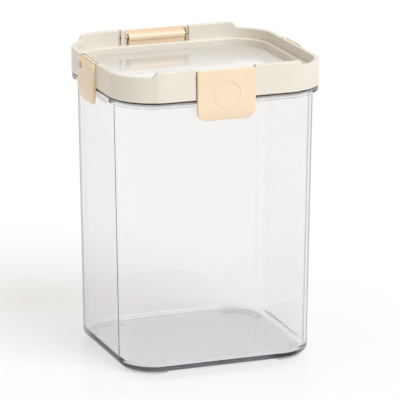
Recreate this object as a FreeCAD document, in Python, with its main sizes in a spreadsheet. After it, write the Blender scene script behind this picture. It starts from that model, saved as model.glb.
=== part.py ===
"""Airtight food storage jar: clear jar, framed lid with a window, gasket, four hinged latches.

Units are millimetres. The origin is the middle of the footprint, at the bottom of the feet.
+Z is up, the front latch faces -Y and +X is to the right of someone facing the front latch.
The lid's own pieces are drawn with z = 0 at the lid's bottom edge, and each latch and pin with
its origin on the pin's axis and -Y outward, then placed.
"""
import FreeCAD, Part
import os
import Sketcher

# Driving sizes: name, value, what it measures
SIZES = [
    ("lid_width", 148.0, "lid outline, left to right"),
    ("lid_depth", 134.0, "lid outline, front to back"),
    ("lid_corner", 32.0, "radius of the lid outline's corners"),
    ("jar_height", 189.0, "bottom of the feet to the top of the flange"),
    ("flange_thickness", 4.3, "height of the flange's edge"),
    ("flange_setback", 0.3, "flange edge behind the lid outline"),
    ("flange_round", 0.9, "rounding of the flange's outer edges"),
    ("jar_setback", 3.8, "jar wall at the top, behind the lid outline"),
    ("jar_taper", 2.8, "how much further in the wall is at the base"),
    ("jar_wall", 2.2, "thickness of the jar wall"),
    ("base_thickness", 3.6, "thickness of the jar's floor"),
    ("base_round", 5.0, "rounding of the outer bottom edge"),
    ("floor_round", 3.4, "rounding inside the bottom"),
    ("foot_height", 1.3, "height of the corner feet"),
    ("foot_width", 6.0, "width of the feet's tread"),
    ("foot_setback", 4.4, "foot edge behind the foot of the wall"),
    ("front_foot_gap", 80.0, "clear length between the feet, front and back"),
    ("side_foot_gap", 66.0, "clear length between the feet, left and right"),
    ("rim_height", 17.0, "lid bottom to the rim's top, at the sides"),
    ("rail_height", 20.7, "lid bottom to the rails' top"),
    ("front_rail_end", 50.6, "lid's middle to each end of the front rail"),
    ("back_rail_left", 60.5, "lid's middle to the left end of the back rail"),
    ("back_rail_right", 53.0, "lid's middle to the right end of the back rail"),
    ("rail_slope_share", 0.73, "run of the rails' sloped ends, for each millimetre of rise"),
    ("rail_round_share", 0.6, "rounding at the ends of the slopes, for each millimetre of rise"),
    ("lid_wall", 3.4, "thickness of the wall above the ledge, and depth of the wide pockets"),
    ("side_pocket", 2.6, "depth of the side pockets"),
    ("skirt_wall", 5.1, "thickness of the wall below the ledge"),
    ("lid_edge_share", 0.19, "rounding of the lid's outer edges, for each millimetre of the rails' rise"),
    ("ledge_height", 10.2, "lid bottom to the ledge's top"),
    ("ledge_width", 3.9, "ledge from the wall to its inner edge"),
    ("window_level", 5.6, "lid bottom to the window's top face"),
    ("window_thickness", 2.6, "thickness of the window"),
    ("window_gap", 0.2, "window edge to the skirt wall"),
    ("window_step", 1.0, "window's middle above its rim, which lies under the ledge"),
    ("window_step_gap", 0.25, "window's middle to the ledge's inner edge"),
    ("plug_setback", 2.4, "plug skirt behind the jar's inner wall"),
    ("plug_wall", 2.0, "thickness of the plug skirt"),
    ("plug_depth", 4.0, "plug skirt below the lid bottom"),
    ("plug_bead", 0.8, "bead at the plug's bottom that holds the gasket"),
    ("gasket_gap", 0.42, "lips to the jar's inner wall"),
    ("gasket_fit", 0.1, "gasket to the plug skirt, the bead and the window"),
    ("gasket_lip", 0.9, "thickness of a lip"),
    ("gasket_lip_reach", 0.8, "how far the lips stand out from the ring"),
    ("gasket_lip_step", 1.9, "height from one lip to the next"),
    ("front_latch_width", 40.8, "width of the front latch"),
    ("front_latch_shift", 2.8, "front latch to the left of the middle"),
    ("back_latch_width", 45.8, "width of the back latch"),
    ("back_latch_shift", 3.8, "back latch to the left of the middle"),
    ("wide_latch_top", 19.8, "lid bottom to the top of a front or back latch"),
    ("wide_latch_drop", 14.5, "lid bottom down to the tip of a wide latch"),
    ("wide_pin_height", 15.0, "lid bottom to the axis of a wide latch's pin"),
    ("wide_hook_width", 30.0, "length of a wide latch's hook"),
    ("side_latch_width", 31.8, "width of the left and right latches"),
    ("side_latch_shift", 4.6, "left and right latches behind the middle"),
    ("side_latch_top", 16.2, "lid bottom to the top of a side latch"),
    ("side_latch_drop", 12.4, "lid bottom down to the tip of a side latch"),
    ("side_pin_height", 15.9, "lid bottom to the axis of a side latch's pin"),
    ("side_pin_inset", 1.1, "axis of a side latch's pin behind the lid's outer face"),
    ("side_hook_width", 19.0, "length of a side latch's hook"),
    ("latch_gap", 0.55, "latch to the pocket's wall, each end"),
    ("latch_proud", 2.6, "latch face in front of the lid's wall"),
    ("latch_plate", 2.4, "thickness of a latch's plate"),
    ("latch_corner", 6.5, "radius of a latch's bottom corners"),
    ("latch_round", 0.8, "rounding of a latch's outer edges"),
    ("wide_barrel", 2.6, "outside radius of a wide latch's barrel"),
    ("side_barrel", 1.0, "outside radius of a side latch's barrel"),
    ("barrel_setback", 2.5, "barrel end behind the plate's edge"),
    ("cheek_thickness", 0.9, "thickness of the cheeks behind a latch's edges"),
    ("wide_cheek", 2.9, "reach of a wide latch's cheeks behind the plate"),
    ("side_cheek", 2.3, "reach of a side latch's cheeks behind the plate"),
    ("cheek_gap", 0.6, "cheeks below the latch's top"),
    ("cheek_foot", 1.0, "cheeks above the lid bottom"),
    ("hook_bite", 0.9, "how far the hook reaches under the flange"),
    ("hook_gap", 0.8, "hook below the flange when closed"),
    ("hook_height", 3.2, "height of the hook's root"),
    ("hook_nose", 1.4, "height of the hook's tip"),
    ("ring_radius", 9.2, "middle of the thumb ring in a wide latch's face"),
    ("ring_width", 0.9, "width of the ring's groove"),
    ("ring_depth", 0.25, "depth of the ring's groove"),
    ("ring_height", 2.4, "lid bottom to the ring's centre"),
    ("wide_pin", 1.0, "radius of a wide latch's pin"),
    ("side_pin", 0.6, "radius of a side latch's pin"),
    ("pin_running_gap", 0.05, "pin to the barrel's bore, radially"),
    ("pin_seat_gap", 0.02, "pin to its seats in the lid frame, radially"),
    ("pin_end_gap", 0.2, "pin end to the bottom of its blind seat"),
    ("pin_seat", 3.0, "depth of a blind seat"),
    ("ear_width", 2.6, "ear between the pocket and the slot"),
    ("slot_width", 2.4, "slot behind the ear"),
    ("slot_depth", 2.2, "depth of the slot from the wall's inner face"),
]

OVERSHOOT = 2.0        # how far a cutting outline reaches past the solid that it cuts
NEAR = 0.01            # tolerance for finding an edge by its place
WIDE = "wide"
SIDE = "side"


def fill_sheet(doc):
    """Put the driving sizes into the document's sheet, one alias for each value."""
    sheet = doc.addObject("Spreadsheet::Sheet", "sizes")
    for row, (alias, value, meaning) in enumerate(SIZES, start=1):
        sheet.set("A%d" % row, alias)
        sheet.set("B%d" % row, str(value))
        sheet.set("C%d" % row, meaning)
        sheet.setAlias("B%d" % row, alias)
    doc.recompute()
    return sheet


def new_body(doc, label, height=None):
    """A body under its own label, lifted to a height where one is given."""
    body = doc.addObject("PartDesign::Body", label)
    body.Label = label
    if height:
        body.setExpression("Placement.Base.z", height)
    return body


def value_of(owner, expression):
    """The number that an expression on the sheet gives now."""
    return float(owner.evalExpression(expression))


def new_sketch(body, name, plane, offset):
    """An empty sketch on one of the body's origin planes, moved along that plane's normal."""
    sketch = body.newObject("Sketcher::SketchObject", name)
    support = next(item for item in body.Origin.OriginFeatures if item.Role == plane)
    sketch.AttachmentSupport = [(support, "")]
    sketch.MapMode = "FlatFace"
    sketch.setExpression("AttachmentOffset.Base.z", offset)
    return sketch


def bind(sketch, kind, geometry, expression):
    """Add a dimension to a sketch and tie it to an expression."""
    index = sketch.addConstraint(Sketcher.Constraint(kind, *geometry, value_of(sketch, expression)))
    sketch.setExpression("Constraints[%d]" % index, expression)


def outline_sketch(body, name, plane, offset, outlines):
    """Straight-sided closed outlines, each a list of corner points given as two expressions."""
    sketch = new_sketch(body, name, plane, offset)
    for corners in outlines:
        places = [FreeCAD.Vector(value_of(sketch, x), value_of(sketch, y), 0) for x, y in corners]
        first = sketch.GeometryCount
        for start, end in zip(places, places[1:] + places[:1]):
            sketch.addGeometry(Part.LineSegment(start, end))
        for step, (x, y) in enumerate(corners):
            line = first + step
            following = first + (step + 1) % len(corners)
            sketch.addConstraint(Sketcher.Constraint("Coincident", line, 2, following, 1))
            bind(sketch, "DistanceX", (-1, 1, line, 1), x)
            bind(sketch, "DistanceY", (-1, 1, line, 1), y)
    return sketch


def rectangle(left, right, low, high):
    """Corner points of an upright rectangle."""
    return [(left, low), (right, low), (right, high), (left, high)]


def circle_sketch(body, name, plane, offset, circles):
    """Circles, each given by its centre and radius."""
    sketch = new_sketch(body, name, plane, offset)
    for x, y, radius in circles:
        centre = FreeCAD.Vector(value_of(sketch, x), value_of(sketch, y), 0)
        normal = FreeCAD.Vector(0, 0, 1)
        circle = sketch.addGeometry(Part.Circle(centre, normal, value_of(sketch, radius)))
        bind(sketch, "Radius", (circle,), radius)
        bind(sketch, "DistanceX", (-1, 1, circle, 3), x)
        bind(sketch, "DistanceY", (-1, 1, circle, 3), y)
    return sketch


def rounded_sketch(body, name, offset, setbacks):
    """Level outlines that follow the lid's, each set back from it by an expression."""
    sketch = new_sketch(body, name, "XY_Plane", offset)
    for setback in setbacks:
        add_rounded_outline(sketch, setback)
    return sketch


def add_rounded_outline(sketch, setback):
    """One rounded rectangle about the sketch's origin: four sides with tangent corner arcs."""
    half_width = "sizes.lid_width / 2 - (%s)" % setback
    half_depth = "sizes.lid_depth / 2 - (%s)" % setback
    radius = "sizes.lid_corner - (%s)" % setback
    across = value_of(sketch, half_width)
    along = value_of(sketch, half_depth)
    round_off = value_of(sketch, radius)
    quarter = FreeCAD.Units.Quantity("90 deg").getValueAs("rad").Value
    first = sketch.GeometryCount
    corners = [(1, -1), (1, 1), (-1, 1), (-1, -1)]
    for step, (right, back) in enumerate(corners):
        centre = FreeCAD.Vector(right * (across - round_off), back * (along - round_off), 0)
        circle = Part.Circle(centre, FreeCAD.Vector(0, 0, 1), round_off)
        arc = Part.ArcOfCircle(circle, (step - 1) * quarter, step * quarter)
        sketch.addGeometry(arc)
    arcs = [first + step for step in range(len(corners))]
    lines = []
    for step in range(len(corners)):
        start = sketch.getPoint(arcs[step], 2)
        end = sketch.getPoint(arcs[(step + 1) % len(corners)], 1)
        lines.append(sketch.addGeometry(Part.LineSegment(start, end)))
    for step, line in enumerate(lines):
        following = arcs[(step + 1) % len(corners)]
        sketch.addConstraint(Sketcher.Constraint("Tangent", arcs[step], 2, line, 1))
        sketch.addConstraint(Sketcher.Constraint("Tangent", line, 2, following, 1))
        direction = "Vertical" if step % 2 == 0 else "Horizontal"
        sketch.addConstraint(Sketcher.Constraint(direction, line))
    for other in arcs[1:]:
        sketch.addConstraint(Sketcher.Constraint("Equal", arcs[0], other))
    sketch.addConstraint(Sketcher.Constraint("Symmetric", arcs[0], 3, arcs[2], 3, -1, 1))
    bind(sketch, "Radius", (arcs[0],), radius)
    bind(sketch, "DistanceX", (-1, 1, lines[0], 1), half_width)
    bind(sketch, "DistanceY", (-1, 1, lines[1], 1), half_depth)


def pad(body, name, sketch, length, both_ways=False, taper=None):
    """Raise a sketch along its normal, opening out by a taper where one is given."""
    feature = body.newObject("PartDesign::Pad", name)
    feature.Profile = sketch
    feature.setExpression("Length", length)
    feature.SideType = "Symmetric" if both_ways else "One side"
    if taper:
        feature.setExpression("TaperAngle", taper)
    body.Document.recompute()
    return feature


def cut(body, name, sketch, length, both_ways=False, along_normal=False, taper=None):
    """Sink a sketch into the body, and make sure that it took something away."""
    before = body.Shape.Volume
    feature = body.newObject("PartDesign::Pocket", name)
    feature.Profile = sketch
    feature.setExpression("Length", length)
    feature.SideType = "Symmetric" if both_ways else "One side"
    feature.Reversed = along_normal
    if taper:
        feature.setExpression("TaperAngle", taper)
    body.Document.recompute()
    if body.Shape.Volume >= before:
        raise RuntimeError("%s of %s cut nothing" % (name, body.Label))
    return feature


def fillet(body, name, radius, wanted):
    """Round the edges of the body's present shape that a test picks."""
    tip = body.Tip
    names = ["Edge%d" % place for place, edge in enumerate(tip.Shape.Edges, start=1) if wanted(edge)]
    if not names:
        raise RuntimeError("%s of %s found no edge" % (name, body.Label))
    feature = body.newObject("PartDesign::Fillet", name)
    feature.Base = (tip, names)
    feature.setExpression("Radius", radius)
    body.Document.recompute()
    return feature


def at_level(height):
    """Test for the edges that lie flat at one height."""
    return lambda edge: (
        abs(edge.BoundBox.ZMin - height) < NEAR and abs(edge.BoundBox.ZMax - height) < NEAR
    )


# Places that several pieces share, as expressions on the sheet
WALL_FOOT = "sizes.jar_setback + sizes.jar_taper"
MOUTH = "sizes.jar_setback + sizes.jar_wall"
CAVITY_FOOT = "sizes.jar_setback + sizes.jar_taper + sizes.jar_wall"
PLUG_FACE = "sizes.jar_setback + sizes.jar_wall + sizes.plug_setback"
PIN_INSET = {WIDE: "sizes.lid_wall / 2", SIDE: "sizes.side_pin_inset"}
FRONT_AXIS = "(sizes.lid_depth / 2 - %s)" % PIN_INSET[WIDE]
SIDE_AXIS = "(sizes.lid_width / 2 - %s)" % PIN_INSET[SIDE]
RAIL_RISE = "(sizes.rail_height - sizes.rim_height)"
RAIL_SLOPE = "(sizes.rail_slope_share * %s)" % RAIL_RISE
LEDGE_EDGE = "sizes.lid_wall + sizes.ledge_width"
WINDOW_RIM = "(sizes.window_level - sizes.window_step)"


def half_pocket(wall):
    """Half the length of the latch pocket in the front, the back or a side wall."""
    return "(sizes.%s_latch_width / 2 + sizes.latch_gap)" % wall


def build_jar(doc):
    """Clear jar: tapered walls, thick rounded floor, flange round the mouth, corner feet."""
    body = new_body(doc, "jar")
    foot = rounded_sketch(body, "wall_foot", "sizes.foot_height", [WALL_FOOT])
    wall_height = "sizes.jar_height - sizes.foot_height"
    draft = "atan(sizes.jar_taper / (%s))" % wall_height
    pad(body, "outer_wall", foot, wall_height, taper=draft)
    flange_foot = "sizes.jar_height - sizes.flange_thickness"
    flange = rounded_sketch(body, "flange_outline", flange_foot, ["sizes.flange_setback"])
    pad(body, "flange", flange, "sizes.flange_thickness")
    floor_level = "sizes.foot_height + sizes.base_thickness"
    cavity = rounded_sketch(body, "cavity_foot", floor_level, [CAVITY_FOOT])
    cavity_height = "%s - sizes.base_thickness" % wall_height
    cut(body, "cavity", cavity, cavity_height, along_normal=True, taper=draft)
    fillet(body, "base_edge", "sizes.base_round", at_level(value_of(body, "sizes.foot_height")))
    fillet(body, "floor_edge", "sizes.floor_round", at_level(value_of(body, floor_level)))
    across_flange = value_of(body, "sizes.lid_width / 2 - sizes.flange_setback")
    along_flange = value_of(body, "sizes.lid_depth / 2 - sizes.flange_setback")
    under_flange = at_level(value_of(body, flange_foot))
    over_flange = at_level(value_of(body, "sizes.jar_height"))

    def on_flange_edge(edge):
        box = edge.BoundBox
        reaches_side = abs(max(-box.XMin, box.XMax) - across_flange) < NEAR
        reaches_front = abs(max(-box.YMin, box.YMax) - along_flange) < NEAR
        return (reaches_side or reaches_front) and (under_flange(edge) or over_flange(edge))

    fillet(body, "flange_edges", "sizes.flange_round", on_flange_edge)
    tread_edge = WALL_FOOT + " + sizes.foot_setback"
    tread = rounded_sketch(body, "tread", "0", [tread_edge, tread_edge + " + sizes.foot_width"])
    pad(body, "feet", tread, "sizes.foot_height")
    past = "%s / 2 + " + str(OVERSHOOT)
    across = past % "sizes.lid_width"
    along = past % "sizes.lid_depth"
    front_gap = "sizes.front_foot_gap / 2"
    side_gap = "sizes.side_foot_gap / 2"
    gaps = outline_sketch(body, "foot_gaps", "XY_Plane", "sizes.foot_height", [
        [
            ("-(%s)" % front_gap, "-(%s)" % along),
            (front_gap, "-(%s)" % along),
            (front_gap, "-(%s)" % side_gap),
            (across, "-(%s)" % side_gap),
            (across, side_gap),
            (front_gap, side_gap),
            (front_gap, along),
            ("-(%s)" % front_gap, along),
            ("-(%s)" % front_gap, side_gap),
            ("-(%s)" % across, side_gap),
            ("-(%s)" % across, "-(%s)" % side_gap),
            ("-(%s)" % front_gap, "-(%s)" % side_gap),
        ],
    ])
    cut(body, "foot_spacing", gaps, "sizes.foot_height")
    return body


def rail_end(end, hand):
    """Outline of what is cut away beyond one end of a rail, seen from the front."""
    top_end = "%s(%s)" % (hand, end)
    foot = "%s(%s + %s)" % (hand, end, RAIL_SLOPE)
    beyond = "%s(sizes.lid_width / 2 + %s)" % (hand, OVERSHOOT)
    above = "sizes.rail_height + %s" % OVERSHOOT
    return [
        (top_end, above),
        (top_end, "sizes.rail_height"),
        (foot, "sizes.rim_height"),
        (beyond, "sizes.rim_height"),
        (beyond, above),
    ]


# Each rail: its wall, and how far its left and right ends are from the lid's middle
RAILS = [
    ("front", "sizes.front_rail_end", "sizes.front_rail_end"),
    ("back", "sizes.back_rail_left", "sizes.back_rail_right"),
]


def build_lid_frame(doc):
    """Cream lid frame: wall with rails, ledge, window opening, latch pockets, pin seats."""
    body = new_body(doc, "lid_frame", "sizes.jar_height")
    block = rounded_sketch(body, "lid_outline", "0", ["0"])
    pad(body, "block", block, "sizes.rail_height")
    reach = "sizes.lid_depth / 2 + %s" % OVERSHOOT
    places = []
    for wall, left, right in RAILS:
        ends = outline_sketch(body, wall + "_rail_ends", "XZ_Plane", "0", [
            rail_end(right, ""),
            rail_end(left, "-"),
        ])
        cut(body, wall + "_rail", ends, reach, along_normal=(wall == "front"))
        for end, hand in ((right, 1), (left, -1)):
            places.append(hand * value_of(body, end))
            places.append(hand * value_of(body, end + " + " + RAIL_SLOPE))

    def crosses_rail(edge):
        box = edge.BoundBox
        at_end = any(abs(box.Center.x - place) < NEAR for place in places)
        return at_end and box.XLength < NEAR and box.ZLength < NEAR

    fillet(body, "rail_corners", "sizes.rail_round_share * " + RAIL_RISE, crosses_rail)
    rim = value_of(body, "sizes.rim_height")
    inside = value_of(body, "sizes.lid_width / 2") - NEAR

    def on_outer_edge(edge):
        box = edge.BoundBox
        across_lid = box.XLength < NEAR and abs(box.Center.x) < inside
        in_middle = box.YLength < NEAR and abs(box.Center.y) < NEAR
        upright = box.XLength < NEAR and box.YLength < NEAR
        low = box.ZMax < NEAR
        inner = across_lid or in_middle or upright
        return low or (box.ZMin > rim - NEAR and not inner)

    fillet(body, "outer_edges", "sizes.lid_edge_share * " + RAIL_RISE, on_outer_edge)
    recess = rounded_sketch(body, "recess_outline", "sizes.rail_height", ["sizes.lid_wall"])
    cut(body, "recess", recess, "sizes.rail_height - sizes.ledge_height")
    opening = rounded_sketch(body, "window_outline", "sizes.ledge_height", [LEDGE_EDGE])
    cut(body, "window_opening", opening, "sizes.ledge_height")
    under = rounded_sketch(body, "skirt_outline", "0", ["sizes.skirt_wall"])
    cut(body, "skirt_hollow", under, WINDOW_RIM, along_normal=True)
    cut_latch_pockets(body)
    cut_slots(body)
    cut_pin_seats(body)
    return body


def pocket_ends(wall):
    """The left and right ends of the front or back pocket, or the near and far ends of a side one."""
    middle = "sizes.side_latch_shift" if wall == SIDE else "-sizes.%s_latch_shift" % wall
    return "%s - %s" % (middle, half_pocket(wall)), "%s + %s" % (middle, half_pocket(wall))


def cut_latch_pockets(body):
    """One pocket in each wall: the wide ones open inward above the ledge, the side ones don't."""
    past = "(%s / 2 + " + str(OVERSHOOT) + ")"
    front_out = past % "sizes.lid_depth"
    front_in = "(sizes.lid_depth / 2 - sizes.lid_wall)"
    side_out = past % "sizes.lid_width"
    side_in = "(sizes.lid_width / 2 - sizes.side_pocket)"
    near, far = pocket_ends(SIDE)
    pockets = outline_sketch(body, "latch_pockets", "XY_Plane", "sizes.rail_height", [
        rectangle(*pocket_ends("front"), "-" + front_out, "-" + front_in),
        rectangle(*pocket_ends("back"), front_in, front_out),
        rectangle("-" + side_out, "-" + side_in, near, far),
        rectangle(side_in, side_out, near, far),
    ])
    cut(body, "pockets", pockets, "sizes.rail_height")


def cut_slots(body):
    """A narrow slot behind the ear at the left of each wide pocket, sunk from the wall's inner face."""
    deep = "(sizes.lid_depth / 2 - sizes.lid_wall + sizes.slot_depth)"
    open_side = "(sizes.lid_depth / 2 - sizes.lid_wall - %s)" % OVERSHOOT
    outlines = []
    for wall, low, high in (("front", "-" + deep, "-" + open_side), ("back", open_side, deep)):
        ear = pocket_ends(wall)[0] + " - sizes.ear_width"
        outlines.append(rectangle(ear + " - sizes.slot_width", ear, low, high))
    slots = outline_sketch(body, "ear_slots", "XY_Plane", "sizes.rail_height", outlines)
    cut(body, "slots", slots, "sizes.rail_height - sizes.ledge_height")


def cut_pin_seats(body):
    """Bores for the pins: wide ones through the ear and blind at the right, side ones blind."""
    for wall, y in (("front", "-" + FRONT_AXIS), ("back", FRONT_AXIS)):
        blind_end = pocket_ends(wall)[1] + " + sizes.pin_seat"
        bore = circle_sketch(body, wall + "_seats", "YZ_Plane", blind_end, [
            (y, "sizes.wide_pin_height", "sizes.wide_pin + sizes.pin_seat_gap"),
        ])
        length = "2 * %s + sizes.pin_seat + sizes.ear_width" % half_pocket(wall)
        cut(body, wall + "_pin_seats", bore, length)
    near_end = "-(%s - sizes.pin_seat)" % pocket_ends(SIDE)[0]
    side_bore = "sizes.side_pin + sizes.pin_seat_gap"
    bores = circle_sketch(body, "side_seats", "XZ_Plane", near_end, [
        ("-" + SIDE_AXIS, "sizes.side_pin_height", side_bore),
        (SIDE_AXIS, "sizes.side_pin_height", side_bore),
    ])
    cut(body, "side_pin_seats", bores, "2 * %s + 2 * sizes.pin_seat" % half_pocket(SIDE))


def build_lid_window(doc):
    """Clear inner lid: stepped window plate under the ledge, plug skirt with a gasket bead."""
    body = new_body(doc, "lid_window", "sizes.jar_height")
    under = "sizes.window_level - sizes.window_thickness"
    plate = rounded_sketch(body, "plate_outline", under, ["sizes.skirt_wall + sizes.window_gap"])
    pad(body, "plate", plate, "sizes.window_thickness - sizes.window_step")
    middle_edge = LEDGE_EDGE + " + sizes.window_step_gap"
    middle = rounded_sketch(body, "middle_outline", WINDOW_RIM, [middle_edge])
    pad(body, "middle", middle, "sizes.window_step")
    inner = PLUG_FACE + " + sizes.plug_wall"
    skirt = rounded_sketch(body, "plug_outline", "-sizes.plug_depth", [PLUG_FACE, inner])
    pad(body, "plug", skirt, under + " + sizes.plug_depth")
    bead_edge = PLUG_FACE + " - sizes.plug_bead"
    bead = rounded_sketch(body, "bead_outline", "-sizes.plug_depth", [bead_edge, inner])
    pad(body, "bead", bead, "sizes.plug_bead")
    return body


def build_gasket(doc):
    """Silicone ring round the plug, from the bead up to the window, with two lips."""
    body = new_body(doc, "gasket", "sizes.jar_height")
    tip = MOUTH + " + sizes.gasket_gap"
    ring_face = tip + " + sizes.gasket_lip_reach"
    inner = PLUG_FACE + " - sizes.gasket_fit"
    low = "-sizes.plug_depth + sizes.plug_bead + sizes.gasket_fit"
    high = "sizes.window_level - sizes.window_thickness - sizes.gasket_fit"
    ring = rounded_sketch(body, "ring_outline", low, [ring_face, inner])
    pad(body, "ring", ring, "(%s) - (%s)" % (high, low))
    for count, name in enumerate(("lower_lip", "upper_lip")):
        level = "%s + %d * sizes.gasket_lip_step" % (low, count)
        lip = rounded_sketch(body, name + "_outline", level, [tip, inner])
        pad(body, name, lip, "sizes.gasket_lip")
    return body


def place_at_hinge(piece, side):
    """Put a latch or a pin on the axis of its hinge, turned to face outward."""
    size, wall, turn, x, y = HINGES[side]
    upright = FreeCAD.Vector(0, 0, 1)
    piece.Placement = FreeCAD.Placement(FreeCAD.Vector(), FreeCAD.Rotation(upright, turn))
    piece.setExpression("Placement.Base.x", x)
    piece.setExpression("Placement.Base.y", y)
    piece.setExpression("Placement.Base.z", "sizes.jar_height + sizes.%s_pin_height" % size)


# Each hinge: latch size, wall, turn about +Z from the front, and where the pin's axis is
HINGES = {
    "front": (WIDE, "front", 0, "-sizes.front_latch_shift", "-" + FRONT_AXIS),
    "back": (WIDE, "back", 180, "-sizes.back_latch_shift", FRONT_AXIS),
    "left": (SIDE, SIDE, -90, "-" + SIDE_AXIS, "sizes.side_latch_shift"),
    "right": (SIDE, SIDE, 90, SIDE_AXIS, "sizes.side_latch_shift"),
}


def build_latch(doc, side):
    """Peach latch: plate, hinge barrel with its web, cheeks behind the edges, hook at the back."""
    size, wall = HINGES[side][:2]
    body = new_body(doc, "latch_" + side)
    half = "sizes.%s_latch_width / 2" % wall
    top = "sizes.%s_latch_top - sizes.%s_pin_height" % (size, size)
    tip = "-(sizes.%s_latch_drop + sizes.%s_pin_height)" % (size, size)
    face = "sizes.latch_proud + " + PIN_INSET[size]
    back = face + " - sizes.latch_plate"
    plate = outline_sketch(body, "plate_outline", "XZ_Plane", back, [
        rectangle("-" + half, half, tip, top),
    ])
    pad(body, "plate", plate, "sizes.latch_plate")
    tip_level = at_height_test(value_of(body, tip))
    fillet(body, "bottom_corners", "sizes.latch_corner", tip_level)
    face_place = -value_of(body, face)

    def on_face(edge):
        return abs(edge.BoundBox.YMin - face_place) < NEAR and edge.BoundBox.YLength < NEAR

    fillet(body, "face_edges", "sizes.latch_round", on_face)
    radius = "sizes.%s_barrel" % size
    bore_radius = "(sizes.%s_pin + sizes.pin_running_gap)" % size
    barrel = circle_sketch(body, "barrel_outline", "YZ_Plane", "0", [("0", "0", radius)])
    barrel_length = "2 * (%s - sizes.barrel_setback)" % half
    pad(body, "barrel", barrel, barrel_length, both_ways=True)
    web = outline_sketch(body, "web_outline", "YZ_Plane", "0", [
        rectangle("-(%s)" % back, "-" + bore_radius, "-" + radius, radius),
    ])
    pad(body, "web", web, barrel_length, both_ways=True)
    add_cheeks(body, size, half, back)
    add_hook(body, size, back)
    bore = circle_sketch(body, "bore_outline", "YZ_Plane", "0", [("0", "0", bore_radius)])
    cut(body, "bore", bore, "2 * " + half, both_ways=True)
    if size == WIDE:
        cut_thumb_ring(body, face)
    place_at_hinge(body, side)
    return body


def at_height_test(height):
    """Test for the short level edges that run from front to back at one height."""
    return lambda edge: (
        abs(edge.BoundBox.Center.z - height) < NEAR
        and edge.BoundBox.ZLength < NEAR
        and edge.BoundBox.XLength < NEAR
    )


def add_cheeks(body, size, half, back):
    """A cheek behind each edge of the plate, inside the pocket, that the pin runs through."""
    low = "sizes.cheek_foot - sizes.%s_pin_height" % size
    high = "sizes.%s_latch_top - sizes.%s_pin_height - sizes.cheek_gap" % (size, size)
    depth = "sizes.%s_cheek" % size
    cheeks = outline_sketch(body, "cheek_outlines", "XZ_Plane", "%s - %s" % (back, depth), [
        rectangle("-" + half, "-" + half + " + sizes.cheek_thickness", low, high),
        rectangle(half + " - sizes.cheek_thickness", half, low, high),
    ])
    pad(body, "cheeks", cheeks, depth)


def add_hook(body, size, back):
    """A wedge on the plate's back that reaches under the flange."""
    flange_foot = "-(sizes.flange_thickness + sizes.%s_pin_height)" % size
    catch = flange_foot + " - sizes.hook_gap"
    reach = PIN_INSET[size] + " - sizes.flange_setback - sizes.hook_bite"
    hook = outline_sketch(body, "hook_outline", "YZ_Plane", "0", [
        [
            ("-(%s)" % back, catch),
            ("-(%s)" % reach, catch),
            ("-(%s)" % reach, catch + " - sizes.hook_nose"),
            ("-(%s)" % back, catch + " - sizes.hook_height"),
        ],
    ])
    pad(body, "hook", hook, "sizes.%s_hook_width" % size, both_ways=True)


def cut_thumb_ring(body, face):
    """A shallow ring in the face of a wide latch, where the thumb presses."""
    height = "sizes.ring_height - sizes.wide_pin_height"
    ring = circle_sketch(body, "ring_outline", "XZ_Plane", face, [
        ("0", height, "sizes.ring_radius + sizes.ring_width / 2"),
        ("0", height, "sizes.ring_radius - sizes.ring_width / 2"),
    ])
    cut(body, "thumb_ring", ring, "sizes.ring_depth")


def build_pin(doc, side):
    """Steel hinge pin: from the ear's slot, or one blind seat, to the other blind seat."""
    size, wall = HINGES[side][:2]
    body = new_body(doc, "pin_" + side)
    blind = "(%s + sizes.pin_seat - sizes.pin_end_gap)" % half_pocket(wall)
    open_end = "(%s + sizes.ear_width)" % half_pocket(wall)
    starts = {"front": open_end}
    ends = {"back": open_end}
    start = starts.get(side, blind)
    section = circle_sketch(body, "section", "YZ_Plane", "-" + start, [
        ("0", "0", "sizes.%s_pin" % size),
    ])
    pad(body, "shank", section, start + " + " + ends.get(side, blind))
    place_at_hinge(body, side)
    return body


def check_and_write(doc, pieces):
    """Stop at any failed object or bad shape, then write one file for each piece."""
    doc.recompute()
    for item in doc.Objects:
        if "Invalid" in item.State or "Error" in item.State:
            raise RuntimeError("%s failed: %s" % (item.Label, item.State))
    for piece in pieces:
        shape = piece.Shape
        if shape.isNull() or not shape.isValid() or len(shape.Solids) != 1:
            raise RuntimeError("%s isn't one sound solid" % piece.Label)
    os.makedirs("parts", exist_ok=True)
    for piece in pieces:
        piece.Shape.exportStep(os.path.join("parts", piece.Label + ".step"))
        box = piece.Shape.BoundBox
        print("%-12s %9.1f mm3  z %7.2f to %7.2f" % (piece.Label, piece.Shape.Volume, box.ZMin, box.ZMax))


def main():
    doc = FreeCAD.newDocument("container")
    fill_sheet(doc)
    pieces = [build_jar(doc), build_lid_frame(doc), build_lid_window(doc), build_gasket(doc)]
    pieces += [build_latch(doc, side) for side in HINGES]
    pieces += [build_pin(doc, side) for side in HINGES]
    check_and_write(doc, pieces)


main()
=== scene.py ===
# %% [markdown]
# # A clear storage jar with a latching lid
#
# The object is a moulded kitchen container: a clear jar, a cream lid frame with a sunken clear
# window, and a peach latch on each side that turns on a steel pin and hooks under the jar's
# flange. The solids come from the CAD model and stay where they are. This script gives them
# their looks: softened mouldings, finishes, light, floor and camera.

# %% Load the solids
import math

import bmesh
import bpy
from mathutils import Matrix, Vector


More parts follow.
